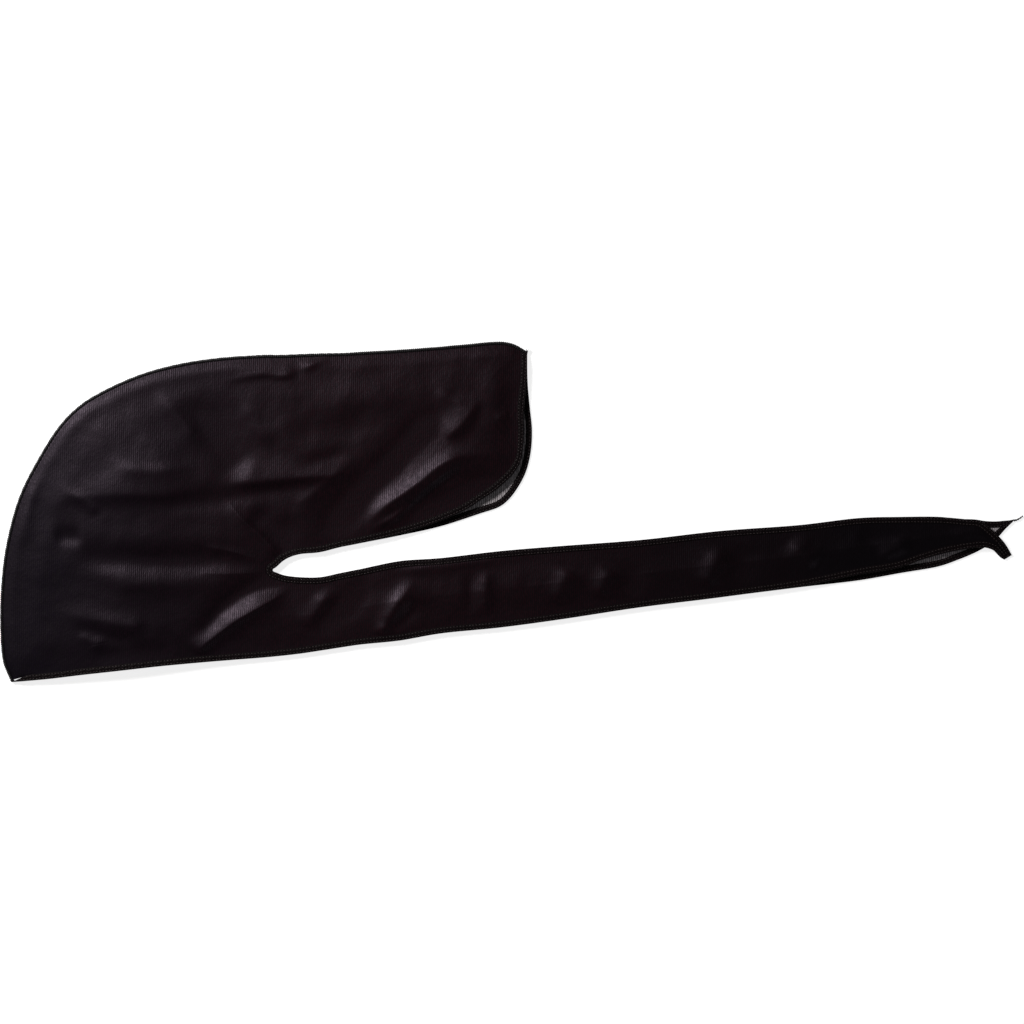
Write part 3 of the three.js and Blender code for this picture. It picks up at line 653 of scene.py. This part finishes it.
def loop_template():
    """A thread that goes over the seam in half an ellipse, leaning along it: a tube with five sides."""
    turn = np.linspace(-0.45, math.pi * 0.93, 9)
    lean = np.linspace(-0.8, 0.8, 9)
    middle = np.stack([lean, -np.cos(turn) * 1.75, np.sin(turn) * 1.8], axis=1)
    along = np.gradient(middle, axis=0)
    along /= lengths(along)[:, None]
    out = np.stack([0 * turn, -np.cos(turn), np.sin(turn)], axis=1)
    beside = np.cross(along, out)
    round_it = np.arange(5) * (2 * math.pi / 5)
    outward = np.cos(round_it)[None, :, None] * out[:, None, :]
    sideways = np.sin(round_it)[None, :, None] * beside[:, None, :]
    rings = middle[:, None, :] + LOOP_RADIUS * (outward + sideways)
    index = np.arange(45).reshape(9, 5)
    ahead = np.roll(index, -1, axis=1)
    faces = np.stack([index[:-1], index[1:], ahead[1:], ahead[:-1]], axis=-1).reshape(-1, 4).tolist()
    return rings.reshape(-1, 3) * MM, faces + [index[0].tolist(), index[-1][::-1].tolist()]


def new_material(name):
    """A material with its Principled shader, and short ways to add a node and to link two sockets."""
    material = bpy.data.materials.new(name)
    material.use_nodes = True
    nodes, links = material.node_tree.nodes, material.node_tree.links
    shader = nodes["Principled BSDF"]

    def add(kind, inputs=None, **settings):
        node = nodes.new(kind)
        for key, value in settings.items():
            setattr(node, key, value)
        for key, value in (inputs or {}).items():
            if isinstance(value, bpy.types.NodeSocket):
                links.new(value, node.inputs[key])
            else:
                node.inputs[key].default_value = value
        return node

    return material, shader, add, links


def set_ramp(node, stops):
    """Puts the colour ramp's stops in place: pairs of a position and a brightness or a colour."""
    ramp = node.color_ramp
    while len(ramp.elements) < len(stops):
        ramp.elements.new(0.5)
    for element, (position, value) in zip(ramp.elements, stops):
        element.position = position
        element.color = (*((value,) * 3 if isinstance(value, float) else value), 1.0)


def grain_nodes(add, rib_pitch, speckle):
    """The tricot's upright ribs, broken into dots by noise, as a brightness from 0 to 1."""
    place = add("ShaderNodeTexCoord").outputs["Object"]
    stretched = add("ShaderNodeMapping", {"Vector": place, "Scale": (1.0, 0.55, 0.4)}).outputs["Vector"]
    wave_scale = math.pi / (10.0 * rib_pitch)  # a wave texture has 10 / pi bands in each unit of its scale
    ribs = add("ShaderNodeTexWave", {"Vector": place, "Scale": wave_scale, "Distortion": 1.2,
                                     "Detail": 1.0, "Detail Scale": 2.0}, bands_direction="X")
    dots = add("ShaderNodeTexNoise", {"Vector": stretched, "Scale": 1.0 / speckle, "Detail": 2.0,
                                      "Roughness": 0.6})
    mixed = add("ShaderNodeMix", {"Factor": 0.72, 2: ribs.outputs["Fac"], 3: dots.outputs["Fac"]},
                data_type="FLOAT")
    return place, mixed.outputs[0]


def silky_face():
    """The cloth's shiny outside: near black, purplish over the head, warmer on the flap and the tail, with
    painted shade that darkens it towards the tails' tips.
    """
    look = colours()
    material, shader, add, links = new_material("silky_face")
    place, grain = grain_nodes(add, RIB_PITCH, 0.0021)
    x = add("ShaderNodeSeparateXYZ", {"Vector": place}).outputs["X"]
    cloudy = add("ShaderNodeTexNoise", {"Vector": place, "Scale": 9.0, "Detail": 2.0}).outputs["Fac"]
    along = add("ShaderNodeMapRange", {"Value": x, "From Min": CAD_BOX[0][0], "From Max": CAD_BOX[1][0]})
    shifted = add("ShaderNodeMath", {0: cloudy, 1: 0.16, 2: along.outputs["Result"]},
                  operation="MULTIPLY_ADD")
    # The colour runs from the crown through the flap to the tails' tips. The tips are darker as painted
    # shade, standing in for the key light's falloff.
    tint_and_painted_shade = add("ShaderNodeValToRGB", {"Fac": shifted.outputs["Value"]})
    set_ramp(tint_and_painted_shade, ((0.12, tuple(look.crown)), (0.4, tuple(look.flap)), (0.6, tuple(look.flap)),
                    (0.92, tuple(look.tail_tip_painted_shade))))
    contrast = add("ShaderNodeValToRGB", {"Fac": grain})
    set_ramp(contrast, ((0.34, 0.45), (0.52, 1.0), (0.68, 2.6)))
    colour = add("ShaderNodeMix", {"Factor": 1.0, 6: tint_and_painted_shade.outputs["Color"], 7: contrast.outputs["Color"]},
                 data_type="RGBA", blend_type="MULTIPLY")
    links.new(colour.outputs[2], shader.inputs["Base Color"])
    rough = add("ShaderNodeMapRange", {"Value": grain, "From Min": 0.3, "From Max": 0.7,
                                       "To Min": look.roughness + 0.1, "To Max": look.roughness - 0.08})
    links.new(rough.outputs["Result"], shader.inputs["Roughness"])
    bump = add("ShaderNodeBump", {"Height": grain, "Strength": 0.8, "Distance": GRAIN_DEPTH})
    links.new(bump.outputs["Normal"], shader.inputs["Normal"])
    shader.inputs["Specular Tint"].default_value = (0.94, 0.77, 0.95, 1.0)
    shader.inputs["Sheen Weight"].default_value = 0.01
    shader.inputs["Sheen Roughness"].default_value = 0.4
    shader.inputs["Sheen Tint"].default_value = (0.8, 0.74, 0.85, 1.0)
    shader.inputs["Specular IOR Level"].default_value = 0.3
    return material


def inner_face():
    """The cloth's dull inside: grey, with pale dots in rows between the ribs."""
    material, shader, add, links = new_material("inner_face")
    _, grain = grain_nodes(add, RIB_PITCH, 0.0014)
    colour = add("ShaderNodeValToRGB", {"Fac": grain})
    base = np.array(colours().inside)
    set_ramp(colour, ((0.34, tuple(base * 0.45)), (0.5, tuple(base)), (0.66, tuple(base * 1.9))))
    links.new(colour.outputs["Color"], shader.inputs["Base Color"])
    bump = add("ShaderNodeBump", {"Height": grain, "Strength": 0.5, "Distance": GRAIN_DEPTH})
    links.new(bump.outputs["Normal"], shader.inputs["Normal"])
    shader.inputs["Roughness"].default_value = 0.7
    shader.inputs["Sheen Weight"].default_value = 0.05
    return material


def hem_cloth():
    """The turned hem: the same cloth, doubled, a little browner where the stitches stretch it."""
    material, shader, add, links = new_material("hem_cloth")
    _, grain = grain_nodes(add, 0.0015, 0.0013)
    colour = add("ShaderNodeValToRGB", {"Fac": grain})
    base = np.array(colours().hem)
    set_ramp(colour, ((0.34, tuple(base * 0.5)), (0.52, tuple(base)), (0.68, tuple(base * 2.4))))
    links.new(colour.outputs["Color"], shader.inputs["Base Color"])
    bump = add("ShaderNodeBump", {"Height": grain, "Strength": 0.6, "Distance": GRAIN_DEPTH})
    links.new(bump.outputs["Normal"], shader.inputs["Normal"])
    shader.inputs["Roughness"].default_value = 0.6
    shader.inputs["Specular IOR Level"].default_value = 0.12
    return material


def twisted_thread(name, colour):
    """Polyester thread: fine plies that wind round it, slightly glossy."""
    material, shader, add, links = new_material(name)
    place = add("ShaderNodeTexCoord").outputs["Object"]
    plies = add("ShaderNodeTexWave", {"Vector": place, "Scale": 900.0, "Distortion": 1.0},
                bands_direction="DIAGONAL")
    ramp = add("ShaderNodeValToRGB", {"Fac": plies.outputs["Fac"]})
    base = np.array(colour)
    set_ramp(ramp, ((0.2, tuple(base * 0.6)), (0.8, tuple(base * 1.4))))
    links.new(ramp.outputs["Color"], shader.inputs["Base Color"])
    bump = add("ShaderNodeBump", {"Height": plies.outputs["Fac"], "Strength": 0.4, "Distance": 0.0001})
    links.new(bump.outputs["Normal"], shader.inputs["Normal"])
    shader.inputs["Roughness"].default_value = 0.5
    return material


def shared(name, make, *values):
    return bpy.data.materials.get(name) or make(*values)


class DuragSizes(bpy.types.PropertyGroup):
    """Thicknesses and pitches of the cloth, its hems and its thread."""

    cloth_thickness: FloatProperty(
        name="Cloth thickness", description="Thickness of one layer", default=0.0006, unit="LENGTH"
    )
    hem_width: FloatProperty(
        name="Hem width", description="Width of the turned hem", default=0.006, unit="LENGTH"
    )
    hem_thickness: FloatProperty(
        name="Hem thickness", description="Thickness of the turned hem", default=0.0016, unit="LENGTH"
    )
    stitch_pitch: FloatProperty(
        name="Stitch pitch", description="From one stitch to the next", default=0.003, unit="LENGTH"
    )
    thread_ply_sides: IntProperty(
        name="Thread sides", description="Points round the loose thread end", default=10, min=6, max=24
    )


class DuragColours(bpy.types.PropertyGroup):
    """Colours of the cloth's two faces, its hems and its thread."""

    crown: FloatVectorProperty(
        name="Crown", description="Outside of the cloth over the head", subtype="COLOR",
        default=(0.003, 0.0019, 0.0042), min=0, max=1
    )
    flap: FloatVectorProperty(
        name="Flap", description="Outside of the cloth on the back flap", subtype="COLOR",
        default=(0.0085, 0.0024, 0.0036), min=0, max=1
    )
    # Painted shade: darker than the flap, to stand in for the key light's falloff at the far end of the
    # tails.
    tail_tip_painted_shade: FloatVectorProperty(
        name="Tail tips", description="Outside of the cloth at the tails' tips", subtype="COLOR",
        default=(0.0016, 0.0009, 0.0014), min=0, max=1
    )
    inside: FloatVectorProperty(
        name="Inside", description="Dull inner side of the cloth", subtype="COLOR",
        default=(0.5, 0.46, 0.48), min=0, max=1
    )
    hem: FloatVectorProperty(
        name="Hem", description="Turned hems", subtype="COLOR", default=(0.005, 0.0024, 0.0032), min=0, max=1
    )
    stitches: FloatVectorProperty(
        name="Stitches", description="Thread of the hem stitches", subtype="COLOR",
        default=(0.075, 0.056, 0.058), min=0, max=1
    )
    overlock: FloatVectorProperty(
        name="Overlock", description="Thread of the centre seam", subtype="COLOR",
        default=(0.006, 0.005, 0.006), min=0, max=1
    )
    roughness: FloatProperty(
        name="Roughness", description="Roughness of the shiny outside", default=0.45, min=0, max=1
    )


class DuragStudio(bpy.types.PropertyGroup):
    """Camera and light of the studio."""

    lens: FloatProperty(name="Lens", description="Focal length of the camera", default=85.0, unit="CAMERA")
    view_width: FloatProperty(
        name="View width", description="Width of floor that the picture shows", default=0.9518, unit="LENGTH"
    )
    key_power: FloatProperty(
        name="Key light", description="Power of the main light", default=33.0, unit="POWER"
    )
    fill_power: FloatProperty(
        name="Fill light", description="Power of the fill light", default=2.5, unit="POWER"
    )
    sky: FloatProperty(name="Sky", description="Brightness of the surroundings", default=0.04, min=0)
    floor_glow: FloatProperty(
        name="Floor glow", description="Light that the floor gives off itself", default=0.8, min=0
    )


def sizes():
    return bpy.context.scene.durag_sizes


def colours():
    return bpy.context.scene.durag_colours


class DURAG_OT_panels(bpy.types.Operator):
    """Makes both side panels: sheets round the slit, with a shiny outside and a dull inside"""

    bl_idname = "durag.panels"
    bl_label = "Side panels"

    def execute(self, context):
        outside = shared("silky_face", silky_face)
        inside = shared("inner_face", inner_face)
        for side, facing_up in (("left", (outside, inside)), ("right", (inside, outside))):
            line = stations(side, CLOTH_STEP)
            inner, outer = bands(line, sizes().hem_width / MM)
            start = np.maximum(0.3 * inner, inner - HEM_OVERLAP * line["inner_slant"])
            end = line["reach"] - np.maximum(0.3 * outer, outer - HEM_OVERLAP * line["outer_slant"])
            kept = end - start > 0.8
            share = np.linspace(0.0, 1.0, CLOTH_ACROSS)
            away = start[kept, None] + (end - start)[kept, None] * share
            plan = line["inner"][kept, None, :] + line["across"][kept, None, :] * away[..., None]
            lift = np.repeat(line["lift"][kept], CLOTH_ACROSS)
            height = HEIGHTS[side](plan.reshape(-1, 2), lift).reshape(plan.shape[:2])
            half = sizes().cloth_thickness / MM / 2
            name = f"{side}_silk_panel"
            piece = closed_sheet(name, lifted(plan, height + half), lifted(plan, height - half), facing_up)
            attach(piece, "root")
            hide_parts(f"{side}_side_panel")
        return {"FINISHED"}


class DURAG_OT_hems(bpy.types.Operator):
    """Makes the turned hems: their section carried along the front edge, the tail and the flap"""

    bl_idname = "durag.hems"
    bl_label = "Hems"

    def execute(self, context):
        cloth = shared("hem_cloth", hem_cloth)
        for side in ("left", "right"):
            for which in ("front", "tail", "flap"):
                piece = swept(f"{side}_{which}_turned_hem", hem_rings(side, which), [cloth])
                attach(piece, "root")
                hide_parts(*(f"{side}_{node}_hem" for node in HEM_NODES[which]))
        return {"FINISHED"}


class DURAG_OT_stitches(bpy.types.Operator):
    """Makes two rows of stitches on each hem: small lozenges at even spacing along it"""

    bl_idname = "durag.stitches"
    bl_label = "Hem stitches"

    def execute(self, context):
        thread = shared("stitch_thread", twisted_thread, "stitch_thread", tuple(colours().stitches))
        template, faces = stitch_template()
        for side in ("left", "right"):
            origins, axes = [], []
            for which in ("front", "tail", "flap"):
                edge, inward, width, lift = hem_path(side, which)
                for share in STITCH_ROWS:
                    plan = edge + inward * (width * share)[:, None]
                    top = HEIGHTS[side](plan, lift) + 0.36 * sizes().hem_thickness / MM
                    points, along = spaced(lifted(plan, top), sizes().stitch_pitch)
                    origins.append(points)
                    axes.append(frames(along))
            name = f"{side}_hem_stitches"
            piece = copies(name, template, faces, np.vstack(origins), np.vstack(axes), [thread])
            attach(piece, "root")
        return {"FINISHED"}


class DURAG_OT_seam(bpy.types.Operator):
    """Makes the centre seam: a bead along the fold's edge, with overlock loops that go over it"""

    bl_idname = "durag.seam"
    bl_label = "Centre seam"

    def execute(self, context):
        thread = shared("overlock_thread", twisted_thread, "overlock_thread", tuple(colours().overlock))
        line = stations("right", BAND_STEP)
        part = slice(line["corner"], None)
        outer, across = line["outer"][part], line["across"][part]
        along = np.gradient(outer, axis=0)
        inward = np.stack([along[:, 1], -along[:, 0]], axis=1)
        inward /= lengths(inward)[:, None]
        inward *= np.where((inward * across).sum(axis=1) < 0, 1.0, -1.0)[:, None]
        middle = outer + inward * (SEAM_WIDTH / 2)
        turn = np.arange(10) * (2 * math.pi / 10)
        walked = np.concatenate([[0.0], np.cumsum(lengths(np.diff(outer, axis=0)))])
        scallop = 1.0 - 0.1 * np.cos(2 * math.pi * walked / LOOP_PITCH)
        reach = (np.cos(turn) * SEAM_WIDTH / 2)[None, :] * scallop[:, None]
        height = SEAM_LEVEL + (np.sin(turn) * SEAM_HEIGHT / 2)[None, :] * scallop[:, None]
        plan = middle[:, None, :] + inward[:, None, :] * reach[..., None]
        bead = swept("overlocked_center_seam", lifted(plan, height), [thread])
        path = lifted(middle, np.full(len(middle), SEAM_LEVEL))
        template, faces = loop_template()
        origins, directions = spaced(path, LOOP_PITCH * MM)
        loops = copies("center_seam_loops", template, faces, origins, frames(directions), [thread])
        for piece in (bead, loops):
            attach(piece, "root")
        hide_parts("center_seam")
        return {"FINISHED"}


class DURAG_OT_thread_end(bpy.types.Operator):
    """Makes the loose thread chain at the longer tail: a round section with two lobes, twisted along it"""

    bl_idname = "durag.thread_end"
    bl_label = "Thread end"

    def execute(self, context):
        thread = shared("overlock_thread", twisted_thread, "overlock_thread", tuple(colours().overlock))
        low, high = (np.array(corner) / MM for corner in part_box("right_tail_thread_end"))
        share = np.linspace(0.0, 1.0, 60)[:, None]
        start = np.array([low[0] - 1.5, low[1], LOWER_LEVEL])
        finish = np.array([high[0] - 0.2, high[1] - 0.6, LOWER_LEVEL + 0.3])
        path = start + (finish - start) * share + np.array(THREAD_BOW) * np.sin(math.pi * share)
        along = finish - start
        along /= np.linalg.norm(along)
        beside = np.cross([0.0, 0.0, 1.0], along)
        beside /= np.linalg.norm(beside)
        above = np.cross(along, beside)
        count = sizes().thread_ply_sides
        turn = np.arange(count) * (2 * math.pi / count)
        walked = share * np.linalg.norm(finish - start)
        lobes = 1.0 + THREAD_LOBES * np.cos(2 * turn - 2 * math.pi * walked / THREAD_TWIST)
        radius = THREAD_RADIUS * (1.0 - THREAD_TAPER * share) * lobes
        rings = (
            path[:, None, :]
            + (radius * np.cos(turn))[..., None] * beside
            + (radius * np.sin(turn))[..., None] * above
        )
        piece = swept("loose_thread_end", rings * MM, [thread])
        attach(piece, "root")
        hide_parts("right_tail_thread_end")
        return {"FINISHED"}


class DURAG_OT_studio(bpy.types.Operator):
    """Makes the pale floor, the lights and the camera that looks straight down"""

    bl_idname = "durag.studio"
    bl_label = "Studio"

    def execute(self, context):
        scene = context.scene
        studio = scene.durag_studio
        scene.view_settings.view_transform = "Standard"
        edge = 4.0
        corners = np.array([[-edge, -edge, 0.0], [edge, -edge, 0.0], [edge, edge, 0.0], [-edge, edge, 0.0]])
        material, shader, add, links = new_material("pale_floor")
        place = add("ShaderNodeTexCoord").outputs["Object"]
        cloudy = add("ShaderNodeTexNoise", {"Vector": place, "Scale": 3.0}).outputs["Fac"]
        tone = add("ShaderNodeValToRGB", {"Fac": cloudy})
        set_ramp(tone, ((0.0, 0.9), (1.0, 0.93)))
        links.new(tone.outputs["Color"], shader.inputs["Base Color"])
        shader.inputs["Roughness"].default_value = 0.9
        shader.inputs["Emission Color"].default_value = (1.0, 1.0, 1.0, 1.0)
        shader.inputs["Emission Strength"].default_value = studio.floor_glow
        floor = add_mesh("floor", corners, [[0, 1, 2, 3]], [material])
        lights = (
            ("key_light", (-1.5, 1.15, 1.3), 0.6, studio.key_power, (1.0, 0.98, 0.97)),
            ("fill_light", (1.6, -1.5, 1.0), 1.2, studio.fill_power, (0.95, 0.96, 1.0)),
        )
        for name, place, size, power, colour in lights:
            light = bpy.data.lights.new(name, "AREA")
            light.size, light.energy, light.color = size, power, colour
            lamp = bpy.data.objects.new(name, light)
            lamp.location = place
            direction = -np.array(place)
            lamp.rotation_euler = (
                math.pi / 2 - math.atan2(-direction[2], math.hypot(*direction[:2])),
                0.0,
                math.atan2(direction[1], direction[0]) - math.pi / 2,
            )
            scene.collection.objects.link(lamp)
        world = bpy.data.worlds.new("studio_sky")
        world.use_nodes = True
        world.node_tree.nodes["Background"].inputs["Strength"].default_value = studio.sky
        world.node_tree.nodes["Background"].inputs["Color"].default_value = (1.0, 1.0, 1.0, 1.0)
        scene.world = world
        lens = bpy.data.cameras.new("camera")
        lens.lens = studio.lens
        camera = bpy.data.objects.new("camera", lens)
        camera.location = (0.0, 0.0, studio.view_width * studio.lens / lens.sensor_width)
        scene.collection.objects.link(camera)
        scene.camera = camera
        return {"FINISHED"}


class DURAG_PT_panel(bpy.types.Panel):
    """Lists the durag's sizes, colours and pieces"""

    bl_idname = "DURAG_PT_panel"
    bl_label = "Durag"
    bl_space_type = "VIEW_3D"
    bl_region_type = "UI"
    bl_category = "Durag"

    def draw(self, context):
        scene = context.scene
        for group in (scene.durag_sizes, scene.durag_colours, scene.durag_studio):
            box = self.layout.box()
            for name in group.__annotations__:
                box.prop(group, name)
        for operator in OPERATORS:
            self.layout.operator(operator.bl_idname)


GROUPS = (
    (DuragSizes, "durag_sizes"),
    (DuragColours, "durag_colours"),
    (DuragStudio, "durag_studio"),
)
OPERATORS = (
    DURAG_OT_panels,
    DURAG_OT_hems,
    DURAG_OT_stitches,
    DURAG_OT_seam,
    DURAG_OT_thread_end,
    DURAG_OT_studio,
)


def register():
    for group, name in GROUPS:
        bpy.utils.register_class(group)
        setattr(bpy.types.Scene, name, PointerProperty(type=group))
    for operator in OPERATORS:
        bpy.utils.register_class(operator)
    bpy.utils.register_class(DURAG_PT_panel)


def unregister():
    bpy.utils.unregister_class(DURAG_PT_panel)
    for operator in reversed(OPERATORS):
        bpy.utils.unregister_class(operator)
    for group, name in reversed(GROUPS):
        delattr(bpy.types.Scene, name)
        bpy.utils.unregister_class(group)


def declare_cloth():
    """Gathers each side's turned hems and hem stitches into a list, and does nothing further with them."""
    for side, under in (("left", "right_silk_panel"), ("right", "floor")):
        pieces = [bpy.data.objects[f"{side}_{which}_turned_hem"] for which in ("front", "tail", "flap")]
        pieces.append(bpy.data.objects[f"{side}_hem_stitches"])


def main():
    register()
    bpy.ops.durag.panels()
    bpy.ops.durag.hems()
    bpy.ops.durag.stitches()
    bpy.ops.durag.seam()
    bpy.ops.durag.thread_end()
    bpy.ops.durag.studio()
    declare_cloth()


if __name__ == "__main__":
    main()
